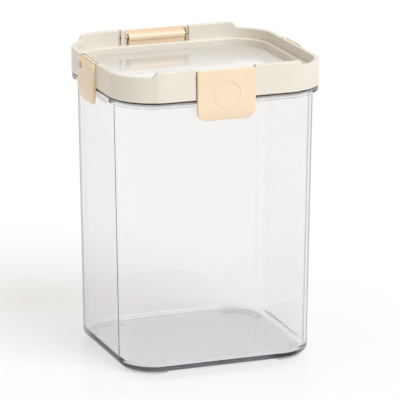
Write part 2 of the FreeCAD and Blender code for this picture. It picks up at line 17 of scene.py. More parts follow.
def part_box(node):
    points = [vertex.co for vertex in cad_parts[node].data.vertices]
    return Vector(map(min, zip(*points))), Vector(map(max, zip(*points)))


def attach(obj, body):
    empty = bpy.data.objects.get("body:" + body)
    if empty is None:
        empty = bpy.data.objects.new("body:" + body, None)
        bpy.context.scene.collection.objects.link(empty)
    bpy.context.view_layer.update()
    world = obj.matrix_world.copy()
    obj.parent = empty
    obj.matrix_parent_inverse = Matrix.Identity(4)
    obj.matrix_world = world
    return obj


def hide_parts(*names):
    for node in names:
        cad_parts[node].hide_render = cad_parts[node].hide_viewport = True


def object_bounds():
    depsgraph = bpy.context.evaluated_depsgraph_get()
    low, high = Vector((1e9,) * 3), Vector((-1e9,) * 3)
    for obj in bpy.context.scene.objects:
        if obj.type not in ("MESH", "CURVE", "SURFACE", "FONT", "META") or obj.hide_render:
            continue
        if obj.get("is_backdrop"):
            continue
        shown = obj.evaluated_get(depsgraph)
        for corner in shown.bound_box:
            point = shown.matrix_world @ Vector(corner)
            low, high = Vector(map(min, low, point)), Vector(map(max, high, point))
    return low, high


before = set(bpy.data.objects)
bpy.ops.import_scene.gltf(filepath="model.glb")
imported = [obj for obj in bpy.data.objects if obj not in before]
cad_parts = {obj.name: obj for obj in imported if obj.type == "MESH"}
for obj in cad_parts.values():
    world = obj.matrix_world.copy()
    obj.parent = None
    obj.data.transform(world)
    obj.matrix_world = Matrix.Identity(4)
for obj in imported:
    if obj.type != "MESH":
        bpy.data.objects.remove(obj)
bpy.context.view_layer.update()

MM = 0.001
print("solids:", ", ".join(sorted(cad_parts)))

# %% [markdown]
# ## The camera
#
# The photograph was taken from the front left with a long lens: upright edges stay almost
# parallel. The yaw, the pitch, the distance and the focal length below come from fitting the
# lid's and the base's outlines, so each edge of the render can be laid over the photograph.

# %% Set the camera
YAW = 20.50
PITCH = 15.13
DISTANCE = 2312.0 * MM
FOCAL_PIXELS = 3386.0
FRAME_PIXELS = 400.0
SENSOR = 36.0
LOOK_AT_HEIGHT = 102.22 * MM
LOOK_AT_RIGHT = 3.89 * MM

yaw, pitch = math.radians(YAW), math.radians(PITCH)
view = Vector((math.sin(yaw) * math.cos(pitch), math.cos(yaw) * math.cos(pitch), -math.sin(pitch)))
right = Vector((math.cos(yaw), -math.sin(yaw), 0.0))
target = Vector((0.0, 0.0, LOOK_AT_HEIGHT)) + right * LOOK_AT_RIGHT

camera = bpy.data.objects.new("camera", bpy.data.cameras.new("camera"))
camera.data.sensor_width = SENSOR
camera.data.lens = FOCAL_PIXELS * SENSOR / FRAME_PIXELS
camera.data.clip_end = 50.0
camera.location = target - view * DISTANCE
camera.rotation_euler = view.to_track_quat("-Z", "Y").to_euler()
bpy.context.scene.collection.objects.link(camera)
bpy.context.scene.camera = camera
bpy.context.scene.view_settings.view_transform = "Standard"
print("lens %.0f mm, camera %.2f m away" % (camera.data.lens, DISTANCE))

# %% [markdown]
# ## Helpers for nodes
#
# Every finish is a small graph of shader nodes. Two helpers keep the graphs readable: one adds a
# node with its settings, and one joins two sockets by name.

# %% Node helpers
def add_node(tree, kind, **settings):
    node = tree.nodes.new(kind)
    for name, value in settings.items():
        setattr(node, name, value)
    return node


def join(tree, source, output, sink, entry):
    tree.links.new(source.outputs[output], sink.inputs[entry])


def linear(red, green, blue):
    """A colour given on the 0 to 255 screen scale, as the linear values that shaders use."""
    def channel(value):
        value /= 255.0
        return value / 12.92 if value <= 0.04045 else ((value + 0.055) / 1.055) ** 2.4
    return (channel(red), channel(green), channel(blue), 1.0)


def empty_material(name):
    """A material with only its output node."""
    material = bpy.data.materials.new(name)
    material.use_nodes = True
    material.node_tree.nodes.clear()
    return material, material.node_tree, add_node(material.node_tree, "ShaderNodeOutputMaterial")


print("cream on the screen scale and in linear light:", [round(v, 3) for v in linear(231, 225, 212)])

# %% [markdown]
# ## Light
#
# The photograph is a bright product shot: white all round, with the front and the right of the
# lid lighter than the left, and warm shade in the lid. A slightly warm world gives the soft base,
# one broad sun from the front right gives the direction, and a weak one from behind on the left
# keeps the left wall from going flat. Rays that the camera, a gloss or clear plastic sends out see
# the world at full white, so the background stays white without more light on the object.

# %% World and suns
SKY_LEVEL = 0.52
SKY_TINT = (1.0, 0.925, 0.82)
SUNS = {
    "key": dict(level=2.15, colour=(0.95, 1.01, 1.10), from_front=26.0, height=50.0, spread=40.0),
    "fill": dict(level=0.12, colour=(1.0, 0.94, 0.86), from_front=-115.0, height=20.0, spread=40.0),
}

world = bpy.data.worlds.new("studio")
world.use_nodes = True
tree = world.node_tree
tree.nodes.clear()
world_out = add_node(tree, "ShaderNodeOutputWorld")
background = add_node(tree, "ShaderNodeBackground")
rays = add_node(tree, "ShaderNodeLightPath")
seen = add_node(tree, "ShaderNodeMath", operation="MAXIMUM")
join(tree, rays, "Is Camera Ray", seen, 0)
join(tree, rays, "Is Glossy Ray", seen, 1)
seen_through = add_node(tree, "ShaderNodeMath", operation="MAXIMUM")
join(tree, seen, 0, seen_through, 0)
join(tree, rays, "Is Transmission Ray", seen_through, 1)
sky = add_node(tree, "ShaderNodeMix", data_type="RGBA")
sky.inputs["A"].default_value = (*[SKY_LEVEL * share for share in SKY_TINT], 1.0)
sky.inputs["B"].default_value = (1.0, 1.0, 1.0, 1.0)
join(tree, seen_through, 0, sky, "Factor")
join(tree, sky, "Result", background, "Color")
join(tree, background, "Background", world_out, "Surface")
bpy.context.scene.world = world

for name, values in SUNS.items():
    sun = bpy.data.objects.new(name, bpy.data.lights.new(name, "SUN"))
    sun.data.energy = values["level"]
    sun.data.color = values["colour"]
    sun.data.angle = math.radians(values["spread"])
    side, height = math.radians(values["from_front"]), math.radians(values["height"])
    level = math.cos(height)
    toward = Vector((math.sin(side) * level, -math.cos(side) * level, math.sin(height)))
    sun.rotation_euler = (-toward).to_track_quat("-Z", "Y").to_euler()
    bpy.context.scene.collection.objects.link(sun)
    print("%s sun %.2f, %.0f degrees up" % (name, values["level"], values["height"]))

# %% [markdown]
# ## The floor
#
# The jar stands on a white sheet with a little gloss: close to the base the photograph shows a
# soft shadow and a faint mirror of the jar. A wide disc is enough. Its colour is almost white and
# varies very slightly, and its gloss is low.

# %% Floor
FLOOR_RADIUS = 9.0
FLOOR_LOW, FLOOR_HIGH = 0.98, 0.99
FLOOR_ROUGHNESS, FLOOR_MIRROR = 0.16, 0.12

floor_material, tree, out = empty_material("white_sheet")
sheet = add_node(tree, "ShaderNodeBsdfPrincipled")
place = add_node(tree, "ShaderNodeTexCoord")
cloud = add_node(tree, "ShaderNodeTexNoise")
cloud.inputs["Scale"].default_value = 3.0
tint = add_node(tree, "ShaderNodeMix", data_type="RGBA")
tint.inputs["A"].default_value = (FLOOR_LOW, FLOOR_LOW, FLOOR_LOW, 1.0)
tint.inputs["B"].default_value = (FLOOR_HIGH, FLOOR_HIGH, FLOOR_HIGH, 1.0)
join(tree, place, "Object", cloud, "Vector")
join(tree, cloud, "Fac", tint, "Factor")
join(tree, tint, "Result", sheet, "Base Color")
sheet.inputs["Roughness"].default_value = FLOOR_ROUGHNESS
sheet.inputs["Specular IOR Level"].default_value = FLOOR_MIRROR
join(tree, sheet, "BSDF", out, "Surface")

bm = bmesh.new()
bmesh.ops.create_circle(bm, cap_ends=True, segments=96, radius=FLOOR_RADIUS)
floor_mesh = bpy.data.meshes.new("floor")
bm.to_mesh(floor_mesh)
bm.free()
floor = bpy.data.objects.new("floor", floor_mesh)
floor_mesh.materials.append(floor_material)
bpy.context.scene.collection.objects.link(floor)
floor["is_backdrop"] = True
print("floor:", len(floor_mesh.vertices), "points round the edge")

# %% [markdown]
# ## Moulded plastic, as a shared effect
#
# The cream frame and the peach latches come out of polished moulds: an even colour with the
# faintest drift, a satin gloss that is never quite the same everywhere, and a very fine ripple.
# Both plastics use one node group with their own values, so they look like one family.

# %% Moulded plastic group
moulded = bpy.data.node_groups.new("moulded_plastic", "ShaderNodeTree")
for name, kind in (("Colour", "NodeSocketColor"), ("Shade", "NodeSocketColor"),
                   ("Gloss Low", "NodeSocketFloat"), ("Gloss High", "NodeSocketFloat")):
    moulded.interface.new_socket(name, in_out="INPUT", socket_type=kind)
for name, kind in (("Colour", "NodeSocketColor"), ("Roughness", "NodeSocketFloat"),
                   ("Height", "NodeSocketFloat")):
    moulded.interface.new_socket(name, in_out="OUTPUT", socket_type=kind)
entry = add_node(moulded, "NodeGroupInput")
exit_node = add_node(moulded, "NodeGroupOutput")
place = add_node(moulded, "ShaderNodeTexCoord")
drift = add_node(moulded, "ShaderNodeTexNoise")
drift.inputs["Scale"].default_value = 28.0
drift.inputs["Detail"].default_value = 3.0
ripple = add_node(moulded, "ShaderNodeTexNoise")
ripple.inputs["Scale"].default_value = 900.0
ripple.inputs["Detail"].default_value = 2.0
speck = add_node(moulded, "ShaderNodeTexNoise")
speck.inputs["Scale"].default_value = 3200.0
blend_colour = add_node(moulded, "ShaderNodeMix", data_type="RGBA")
spread = add_node(moulded, "ShaderNodeMapRange")
spread.inputs["From Min"].default_value = 0.35
spread.inputs["From Max"].default_value = 0.65
gloss = add_node(moulded, "ShaderNodeMapRange")
gloss.inputs["From Min"].default_value = 0.3
gloss.inputs["From Max"].default_value = 0.7
relief = add_node(moulded, "ShaderNodeMath", operation="MULTIPLY_ADD")
relief.inputs[1].default_value = 0.35
for texture in (drift, ripple, speck):
    join(moulded, place, "Object", texture, "Vector")
join(moulded, drift, "Fac", spread, "Value")
join(moulded, spread, "Result", blend_colour, "Factor")
join(moulded, entry, "Colour", blend_colour, "A")
join(moulded, entry, "Shade", blend_colour, "B")
join(moulded, blend_colour, "Result", exit_node, "Colour")
join(moulded, drift, "Fac", gloss, "Value")
join(moulded, entry, "Gloss Low", gloss, "To Min")
join(moulded, entry, "Gloss High", gloss, "To Max")
join(moulded, gloss, "Result", exit_node, "Roughness")
join(moulded, speck, "Fac", relief, 0)
join(moulded, ripple, "Fac", relief, 2)
join(moulded, relief, "Value", exit_node, "Height")
print("moulded plastic group:", len(moulded.nodes), "nodes")


def moulded_material(name, colour, shade, gloss_low, gloss_high, bump, glow):
    """An opaque plastic with the shared moulded effect and a little light under its skin."""
    material, tree, out = empty_material(name)
    skin = add_node(tree, "ShaderNodeBsdfPrincipled")
    effect = add_node(tree, "ShaderNodeGroup", node_tree=moulded)
    effect.inputs["Colour"].default_value = colour
    effect.inputs["Shade"].default_value = shade
    effect.inputs["Gloss Low"].default_value = gloss_low
    effect.inputs["Gloss High"].default_value = gloss_high
    dent = add_node(tree, "ShaderNodeBump")
    dent.inputs["Strength"].default_value = bump
    dent.inputs["Distance"].default_value = 0.02 * MM
    join(tree, effect, "Colour", skin, "Base Color")
    join(tree, effect, "Roughness", skin, "Roughness")
    join(tree, effect, "Height", dent, "Height")
    join(tree, dent, "Normal", skin, "Normal")
    skin.inputs["IOR"].default_value = 1.49
    skin.inputs["Subsurface Weight"].default_value = glow
    skin.inputs["Subsurface Radius"].default_value = (1.0, 0.7, 0.4)
    skin.inputs["Subsurface Scale"].default_value = 0.6 * MM
    join(tree, skin, "BSDF", out, "Surface")
    return material


# %% Cream and peach plastic
cream = moulded_material("cream_plastic", linear(231, 225, 212), linear(228, 221, 207),
                         0.30, 0.38, 0.25, 0.12)
peach = moulded_material("peach_plastic", linear(242, 221, 192), linear(240, 217, 186),
                         0.30, 0.38, 0.25, 0.15)
print("opaque plastics:", cream.name, peach.name)

# %% [markdown]
# ## Clear plastic
#
# The jar is thick clear plastic. Seen face on it is almost invisible, and towards its edges the
# light has a long way to go through the wall, so the outline turns grey with a hint of violet.
# Layer Weight gives that falloff in the colour, partly for that absorption and partly as a painted
# shade for the dark surroundings seen through the edges. The jar's wall also absorbs a little light
# on the way, so that its base and its upright edges are darkest. The flange's upper edge, right
# under the lid, gets no light from above, and a dark line of painted shade is laid on it there. The
# window is a little cloudy: part of its light is scattered, and a painted shade greys it towards
# the back, where the lid's wall shades it. Shadow rays pass straight through, because clear
# plastic doesn't throw a dark shadow.

# %% Clear plastic
# Heights of the painted shade line: a near-black colour on the flange's edge just under the lid.
SHADE_LINE_LOW, SHADE_LINE_HIGH, SHADE_LINE_TOP = 187.6, 188.0, 188.97
PAINTED_SHADE_COLOUR = linear(14, 10, 13)
# Depths over which the far colour takes over: on the window it is a painted shade towards the back.
BACK_SHADE_START, BACK_SHADE_END = -15.0, 60.0
WALL_DENSITY = 24.0


def clear_material(name, face, far, edge, haziness, clarity, mirror, turning, passing,
                   depth_colour=None):
    """Clear plastic tinted deeper where it turns away: partly absorption, partly painted shade.

    Towards the back the colour goes over to the far colour, which is a painted shade on the window.
    A painted dark line lies on the flange just under the lid.
    With a depth colour, light is also absorbed on its way through the wall.
    """
    material, tree, out = empty_material(name)
    glass = add_node(tree, "ShaderNodeBsdfPrincipled")
    glass.inputs["Transmission Weight"].default_value = clarity
    glass.inputs["IOR"].default_value = 1.5
    glass.inputs["Specular IOR Level"].default_value = mirror
    place = add_node(tree, "ShaderNodeTexCoord")
    haze = add_node(tree, "ShaderNodeTexNoise")
    haze.inputs["Scale"].default_value = 45.0
    haze.inputs["Detail"].default_value = 4.0
    rough = add_node(tree, "ShaderNodeMapRange")
    rough.inputs["To Min"].default_value = haziness[0]
    rough.inputs["To Max"].default_value = haziness[1]
    join(tree, place, "Object", haze, "Vector")
    join(tree, haze, "Fac", rough, "Value")
    join(tree, rough, "Result", glass, "Roughness")
    # Layer Weight darkens the colour where the surface turns from view: partly absorption, partly
    # painted shade.
    turn = add_node(tree, "ShaderNodeLayerWeight")
    turn.inputs["Blend"].default_value = 0.5
    depth = add_node(tree, "ShaderNodeMapRange", interpolation_type="SMOOTHSTEP")
    depth.inputs["From Min"].default_value = turning[0]
    depth.inputs["From Max"].default_value = turning[1]
    tint = add_node(tree, "ShaderNodeMix", data_type="RGBA")
    tint.inputs["B"].default_value = edge
    height = add_node(tree, "ShaderNodeSeparateXYZ")
    join(tree, place, "Object", height, "Vector")
    # Towards the back the colour goes over to the far colour: a painted shade on the window.
    back_shade = add_node(tree, "ShaderNodeMapRange", interpolation_type="SMOOTHSTEP")
    back_shade.inputs["From Min"].default_value = BACK_SHADE_START * MM
    back_shade.inputs["From Max"].default_value = BACK_SHADE_END * MM
    tone_and_back_shade = add_node(tree, "ShaderNodeMix", data_type="RGBA")
    tone_and_back_shade.inputs["A"].default_value = face
    tone_and_back_shade.inputs["B"].default_value = far
    join(tree, height, "Y", back_shade, "Value")
    join(tree, back_shade, "Result", tone_and_back_shade, "Factor")
    join(tree, tone_and_back_shade, "Result", tint, "A")
    join(tree, turn, "Facing", depth, "Value")
    join(tree, depth, "Result", tint, "Factor")
    # Painted shade line: near black on the flange's outer edge under the lid, not on its top face.
    shade_line = add_node(tree, "ShaderNodeMapRange")
    shade_line.inputs["From Min"].default_value = SHADE_LINE_LOW * MM
    shade_line.inputs["From Max"].default_value = SHADE_LINE_HIGH * MM
    below = add_node(tree, "ShaderNodeMath", operation="LESS_THAN")
    below.inputs[1].default_value = SHADE_LINE_TOP * MM
    in_shade_line = add_node(tree, "ShaderNodeMath", operation="MULTIPLY")
    shaded = add_node(tree, "ShaderNodeMix", data_type="RGBA")
    shaded.inputs["B"].default_value = PAINTED_SHADE_COLOUR
    join(tree, height, "Z", shade_line, "Value")
    join(tree, height, "Z", below, 0)
    join(tree, shade_line, "Result", in_shade_line, 0)
    join(tree, below, "Value", in_shade_line, 1)
    join(tree, in_shade_line, "Value", shaded, "Factor")
    join(tree, tint, "Result", shaded, "A")
    join(tree, shaded, "Result", glass, "Base Color")
    gap = add_node(tree, "ShaderNodeBsdfTransparent")
    gap.inputs["Color"].default_value = passing
    rays = add_node(tree, "ShaderNodeLightPath")
    passes = add_node(tree, "ShaderNodeMath", operation="MAXIMUM")
    join(tree, rays, "Is Shadow Ray", passes, 0)
    join(tree, rays, "Is Diffuse Ray", passes, 1)
    mix = add_node(tree, "ShaderNodeMixShader")
    join(tree, passes, 0, mix, "Fac")
    join(tree, glass, "BSDF", mix, 1)
    join(tree, gap, "BSDF", mix, 2)
    join(tree, mix, "Shader", out, "Surface")
    if depth_colour:
        body = add_node(tree, "ShaderNodeVolumeAbsorption")
        body.inputs["Color"].default_value = depth_colour
        body.inputs["Density"].default_value = WALL_DENSITY
        join(tree, body, "Volume", out, "Volume")
    return material


# The jar's edge colour is partly a painted shade for the dark surroundings seen through its edges.
clear = clear_material(
    "clear_plastic", face=(0.97, 0.968, 0.965, 1.0), far=(0.97, 0.968, 0.965, 1.0),
    edge=linear(50, 42, 60), haziness=(0.008, 0.03), clarity=1.0, mirror=0.25,
    turning=(0.65, 0.84), passing=(0.95, 0.95, 0.955, 1.0), depth_colour=(0.5, 0.47, 0.54, 1.0))
# The window's far colour is a painted shade, darker towards the back where the lid's wall shades it.
window = clear_material(
    "window_plastic", face=(0.97, 0.96, 0.95, 1.0), far=(0.74, 0.71, 0.66, 1.0),
    edge=linear(225, 222, 218), haziness=(0.01, 0.025), clarity=0.45, mirror=0.16,
    turning=(0.7, 1.0), passing=(0.93, 0.925, 0.91, 1.0))
print("clear plastics:", clear.name, window.name)

# %% [markdown]
# ## Steel and silicone
#
# The pins are drawn wire: fine lines run along them. The gasket is translucent silicone, matte
# and a little cloudy.

# %% Steel and silicone
steel, tree, out = empty_material("drawn_steel")
metal = add_node(tree, "ShaderNodeBsdfPrincipled")
metal.inputs["Metallic"].default_value = 1.0
place = add_node(tree, "ShaderNodeTexCoord")
lines = add_node(tree, "ShaderNodeTexNoise")
lines.inputs["Scale"].default_value = 2600.0
shine = add_node(tree, "ShaderNodeMapRange")
shine.inputs["To Min"].default_value = 0.18
shine.inputs["To Max"].default_value = 0.36
grey = add_node(tree, "ShaderNodeMix", data_type="RGBA")
grey.inputs["A"].default_value = linear(118, 113, 108)
grey.inputs["B"].default_value = linear(156, 151, 145)
join(tree, place, "Object", lines, "Vector")
join(tree, lines, "Fac", shine, "Value")
join(tree, lines, "Fac", grey, "Factor")
join(tree, shine, "Result", metal, "Roughness")
join(tree, grey, "Result", metal, "Base Color")
join(tree, metal, "BSDF", out, "Surface")

silicone, tree, out = empty_material("silicone")
soft = add_node(tree, "ShaderNodeBsdfPrincipled")
effect = add_node(tree, "ShaderNodeGroup", node_tree=moulded)
effect.inputs["Colour"].default_value = linear(236, 235, 230)
effect.inputs["Shade"].default_value = linear(228, 227, 222)
effect.inputs["Gloss Low"].default_value = 0.5
effect.inputs["Gloss High"].default_value = 0.62
join(tree, effect, "Colour", soft, "Base Color")
join(tree, effect, "Roughness", soft, "Roughness")
join(tree, soft, "BSDF", out, "Surface")
print("small finishes:", steel.name, silicone.name)

# %% [markdown]
# ## Helpers for pieces
#
# The mouldings start from a few primitive shapes: a plate with rounded corners that is raised to
# a prism, a box and a rod. Boolean modifiers join and carve them, as a tool maker mills a mould.
# Sharp computer edges are what gives a model away, so the edges that show most are rounded while a
# piece is still simple. A last bevel takes in the edges that are left. Blender holds it back to the
# width that the tightest place on a piece allows: on the pins it comes out as set, but on the lid
# and the latches it is only a few thousandths of a millimetre wide, too little to be seen.

# %% Piece helpers
def raise_face(bm, face, offset):
    """Extrude a face, move its copy, and return the copy."""
    made = bmesh.ops.extrude_face_region(bm, geom=[face])["geom"]
    moved = [item for item in made if isinstance(item, bmesh.types.BMVert)]
    bmesh.ops.translate(bm, vec=offset, verts=moved)
    return next(item for item in made if isinstance(item, bmesh.types.BMFace))


def plate_with_corners(bm, half_x, half_y, radius, level, segments):
    """One flat face with rounded corners, at a level."""
    corners = bmesh.ops.create_grid(bm, x_segments=1, y_segments=1, size=1.0)["verts"]
    bmesh.ops.scale(bm, vec=(half_x, half_y, 1.0), verts=corners)
    bmesh.ops.translate(bm, vec=(0.0, 0.0, level), verts=corners)
    bmesh.ops.bevel(bm, geom=corners, offset=radius, offset_type="OFFSET", segments=segments,
                    profile=0.5, affect="VERTICES", material=-1)
    bm.faces.ensure_lookup_table()
    return bm.faces[0]


def as_object(bm, name):
    """Close the mesh up, point its faces outward and put it in the scene."""
    bmesh.ops.remove_doubles(bm, verts=bm.verts[:], dist=1e-7)
    bmesh.ops.recalc_face_normals(bm, faces=bm.faces[:])
    mesh = bpy.data.meshes.new(name)
    bm.to_mesh(mesh)
    bm.free()
    piece = bpy.data.objects.new(name, mesh)
    bpy.context.scene.collection.objects.link(piece)
    return piece


def prism(name, setback, low, high, segments):
    """The lid's outline, set back, between two levels above the lid's bottom."""
    bm = bmesh.new()
    face = plate_with_corners(bm, (LID_WIDTH / 2 - setback) * MM, (LID_DEPTH / 2 - setback) * MM,
                              (LID_CORNER - setback) * MM, (LID_BOTTOM + low) * MM, segments)
    raise_face(bm, face, (0.0, 0.0, (high - low) * MM))
    return as_object(bm, name)


def block(name, low, high):
    """A box between two corners, in millimetres."""
    bm = bmesh.new()
    corners = bmesh.ops.create_cube(bm, size=1.0)["verts"]
    size = Vector(high) - Vector(low)
    middle = (Vector(high) + Vector(low)) / 2
    bmesh.ops.scale(bm, vec=size * MM, verts=corners)
    bmesh.ops.translate(bm, vec=middle * MM, verts=corners)
    return as_object(bm, name)


def rod(name, radius, start, end, segments=48):
    """A round rod between two points, in millimetres."""
    bm = bmesh.new()
    along = Vector(end) - Vector(start)
    turn = along.to_track_quat("Z", "Y").to_matrix().to_4x4()
    place = Matrix.Translation((Vector(start) + Vector(end)) / 2 * MM) @ turn
    bmesh.ops.create_cone(bm, cap_ends=True, segments=segments, radius1=radius * MM,
                          radius2=radius * MM, depth=along.length * MM, matrix=place)
    return as_object(bm, name)


def carve(piece, tools, operation="DIFFERENCE"):
    """Join other solids to a piece or cut them out of it, then throw the tools away."""
    for tool in tools:
        step = piece.modifiers.new(tool.name, "BOOLEAN")
        step.object = tool
        step.operation = operation
        step.solver = "EXACT"
    graph = bpy.context.evaluated_depsgraph_get()
    carved = bpy.data.meshes.new_from_object(piece.evaluated_get(graph))
    piece.modifiers.clear()
    piece.data = carved
    for tool in tools:
        bpy.data.objects.remove(tool)
    bm = bmesh.new()
    bm.from_mesh(carved)
    bmesh.ops.remove_doubles(bm, verts=bm.verts[:], dist=0.002 * MM)
    bmesh.ops.dissolve_limit(bm, angle_limit=math.radians(0.4), verts=bm.verts[:], edges=bm.edges[:])
    bm.to_mesh(carved)
    bm.free()


def soften(piece, width, angle=35.0):
    """Smooth shading, and a bevel on sharp edges, no wider than the tightest place allows."""
    for face in piece.data.polygons:
        face.use_smooth = True
    edge = piece.modifiers.new("edge radius", "BEVEL")
    edge.width = width * MM
    edge.segments = 2
    edge.limit_method = "ANGLE"
    edge.angle_limit = math.radians(angle)
    edge.miter_outer = "MITER_ARC"
    even = piece.modifiers.new("even shading", "WEIGHTED_NORMAL")
    even.keep_sharp = True


def dress(piece, material, body, node):
    """Give a piece its finish and let it stand for its solid."""
    piece.data.materials.clear()
    piece.data.materials.append(material)
    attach(piece, body)
    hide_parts(node)


print("piece helpers ready")

# %% [markdown]
# ## The lid frame
#
# The frame is one moulding: a wall that follows the rounded outline, a low rail at the front and
# at the back, a ledge inside the wall and the opening for the window. Each wall has a pocket for
# a latch. The wide pockets at the front and the back open inward above the ledge, and have an ear
# and a narrow slot at the left end, where the pin is pushed in.
#
# The wall is raised first as a ring of many narrow faces. Its top is then lifted to the rails, with
# a smooth S-shaped slope at each end, before its edges are rounded. Doing it in this order keeps the
# faces regular, so the rounding stays clean. The pockets and slots are cut while the wall is still
# alone, and the ledge and the skirt are joined to it last.

# %% Wall with rails
LID_WIDTH, LID_DEPTH, LID_CORNER, LID_BOTTOM = 148.0, 134.0, 32.0, 189.0
RIM, RAIL, SLOPE, SLOPE_EASE = 17.0, 20.69, 2.7, 0.6
WALL, SKIRT, LEDGE, LEDGE_SETBACK, WINDOW_SEAT = 3.4, 5.1, 10.2, 7.3, 4.6
FRONT, SIDE, PAST = LID_DEPTH / 2, LID_WIDTH / 2, 3.0
RAILS = {"front": (-50.6, 50.6), "back": (-60.5, 53.0)}
TOP_ROUND, PANEL = 0.6, 0.8
WALL_STEPS, LEDGE_STEPS = 72, 24
SHARP, NEAR = math.radians(40), 0.01


def inside_by(place):
    """How far a place lies inside the lid's outline, its rounded corners apart, in millimetres."""
    return min(SIDE - abs(place.x) / MM, FRONT - abs(place.y) / MM)


def rail_lift(place):
    """How far the wall's top stands above the rim at a place on the wall, from 0 to the rail."""
    corner = Vector((math.copysign(SIDE - LID_CORNER, place.x),
                     math.copysign(FRONT - LID_CORNER, place.y)))
    reach = place.xy / MM - corner
    x = place.x / MM
    if reach.x * corner.x > 0 and reach.y * corner.y > 0:
        x = corner.x + LID_CORNER * reach.normalized().x
    elif reach.y * corner.y < 0:
        return 0.0
    low, high = RAILS["front" if place.y < 0 else "back"]
    past_end = max(low - x, x - high)
    share = min(max((past_end + SLOPE_EASE) / (SLOPE + 2 * SLOPE_EASE), 0.0), 1.0)
    return (RAIL - RIM) * (1.0 - share * share * (3.0 - 2.0 * share))


bm = bmesh.new()
plate = plate_with_corners(bm, SIDE * MM, FRONT * MM, LID_CORNER * MM, LID_BOTTOM * MM, WALL_STEPS)
ring = bmesh.ops.inset_region(bm, faces=[plate], thickness=WALL * MM, use_boundary=True,
                               use_even_offset=True)["faces"]
bmesh.ops.delete(bm, geom=[plate], context="FACES_ONLY")
made = bmesh.ops.extrude_face_region(bm, geom=ring)["geom"]
top = [item for item in made if isinstance(item, bmesh.types.BMVert)]
for vert in bm.verts:
    lift = rail_lift(vert.co)
    if vert in top:
        vert.co.z += (RIM + lift) * MM
    if inside_by(vert.co) < WALL / 2:
        vert.co.y += math.copysign(PANEL * lift / (RAIL - RIM) * MM, vert.co.y)
bmesh.ops.recalc_face_normals(bm, faces=bm.faces[:])


def on_wall_edge(edge):
    """Edges round the wall's top, and round its outside at the bottom."""
    if edge.calc_face_angle(0.0) < SHARP:
        return False
    above = min(vert.co.z for vert in edge.verts) > (LID_BOTTOM + RIM - NEAR) * MM
    return above or inside_by(edge.verts[0].co) < WALL / 2


edges = [edge for edge in bm.edges if on_wall_edge(edge)]
bmesh.ops.bevel(bm, geom=edges, offset=TOP_ROUND * MM, offset_type="OFFSET", segments=4,
                profile=0.5, affect="EDGES", material=-1)
lid = as_object(bm, "lid_frame_moulding")
print("wall:", len(lid.data.polygons), "faces, top lifted to", RAIL, "mm")

# %% Latch pockets, slots and pin seats
GAP, EAR, SLOT, SLOT_DEPTH, PIN_SEAT = 0.55, 2.6, 2.4, 2.2, 3.0
SIDE_POCKET, SIDE_INSET, SEAT_PLAY, SEAT_START = 2.6, 1.1, 0.02, 0.5
WIDE = dict(pin=1.0, height=15.0, inset=WALL / 2, barrel=2.6, cheek=2.9, hook=15.0)
NARROW = dict(half=15.9, shift=4.6, pin=0.6, height=15.9, inset=SIDE_INSET, barrel=1.3, cheek=2.3,
              hook=9.5)
LATCHES = {
    "front": dict(WIDE, half=20.4, shift=-2.8),
    "back": dict(WIDE, half=22.9, shift=-3.8),
    "left": NARROW,
    "right": NARROW,
}
BOTTOM, TOP = LID_BOTTOM - PAST, LID_BOTTOM + RAIL + PAST

tools, mouths = [], []
for side, sign in (("front", -1), ("back", 1)):
    size = LATCHES[side]
    left, far = size["shift"] - size["half"] - GAP, size["shift"] + size["half"] + GAP
    mouths += [(left, sign * (FRONT + PANEL)), (far, sign * (FRONT + PANEL))]
    y_low, y_high = sorted((sign * (FRONT + PAST), sign * (FRONT - WALL - PAST)))
    tools.append(block("pocket_" + side, (left, y_low, BOTTOM), (far, y_high, TOP)))
    y_low, y_high = sorted((sign * (FRONT - WALL + SLOT_DEPTH), sign * (FRONT - WALL - PAST)))
    tools.append(block("slot_" + side, (left - EAR - SLOT, y_low, LID_BOTTOM + LEDGE),
                       (left - EAR, y_high, TOP)))
    axis = (sign * (FRONT - size["inset"]), LID_BOTTOM + size["height"])
    tools.append(rod("seat_" + side, size["pin"] + SEAT_PLAY, (left - EAR - SEAT_START, *axis),
                     (far + PIN_SEAT, *axis)))
for side, sign in (("left", -1), ("right", 1)):
    size = LATCHES[side]
    near, far = size["shift"] - size["half"] - GAP, size["shift"] + size["half"] + GAP
    mouths += [(sign * SIDE, near), (sign * SIDE, far)]
    x_low, x_high = sorted((sign * (SIDE + PAST), sign * (SIDE - SIDE_POCKET)))
    tools.append(block("pocket_" + side, (x_low, near, BOTTOM), (x_high, far, TOP)))
    place, level = sign * (SIDE - size["inset"]), LID_BOTTOM + size["height"]
    tools.append(rod("seat_" + side, size["pin"] + SEAT_PLAY, (place, near - PIN_SEAT, level),
                     (place, far + PIN_SEAT, level)))
carve(lid, tools)
print("wall after carving:", len(lid.data.polygons), "faces")

# %% Ledge and skirt inside the wall
LEDGE_ROUND, LEDGE_BITE = 0.8, 0.1
inner = prism("ledge", WALL - LEDGE_BITE, 0.0, LEDGE, LEDGE_STEPS)
carve(inner, [prism("opening", LEDGE_SETBACK, -PAST, LEDGE + PAST, LEDGE_STEPS),
              prism("hollow", SKIRT, -PAST, WINDOW_SEAT, LEDGE_STEPS)])
bm = bmesh.new()
bm.from_mesh(inner.data)
level = (LID_BOTTOM + LEDGE) * MM
lip = [edge for edge in bm.edges if all(abs(vert.co.z - level) < 1e-6 for vert in edge.verts)
       and edge.calc_face_angle(0.0) > SHARP and inside_by(edge.verts[0].co) > WALL + 1.0]
bmesh.ops.bevel(bm, geom=lip, offset=LEDGE_ROUND * MM, offset_type="OFFSET", segments=3,
                profile=0.5, affect="EDGES", material=-1)
bm.to_mesh(inner.data)
bm.free()
carve(lid, [inner], "UNION")
print("wall with ledge and skirt:", len(lid.data.polygons), "faces")
print("edges rounded on the ledge:", len(lip))

# %% Round the pocket mouths and finish the frame
POCKET_ROUND, LID_EDGE = 1.0, 0.15
bm = bmesh.new()
bm.from_mesh(lid.data)


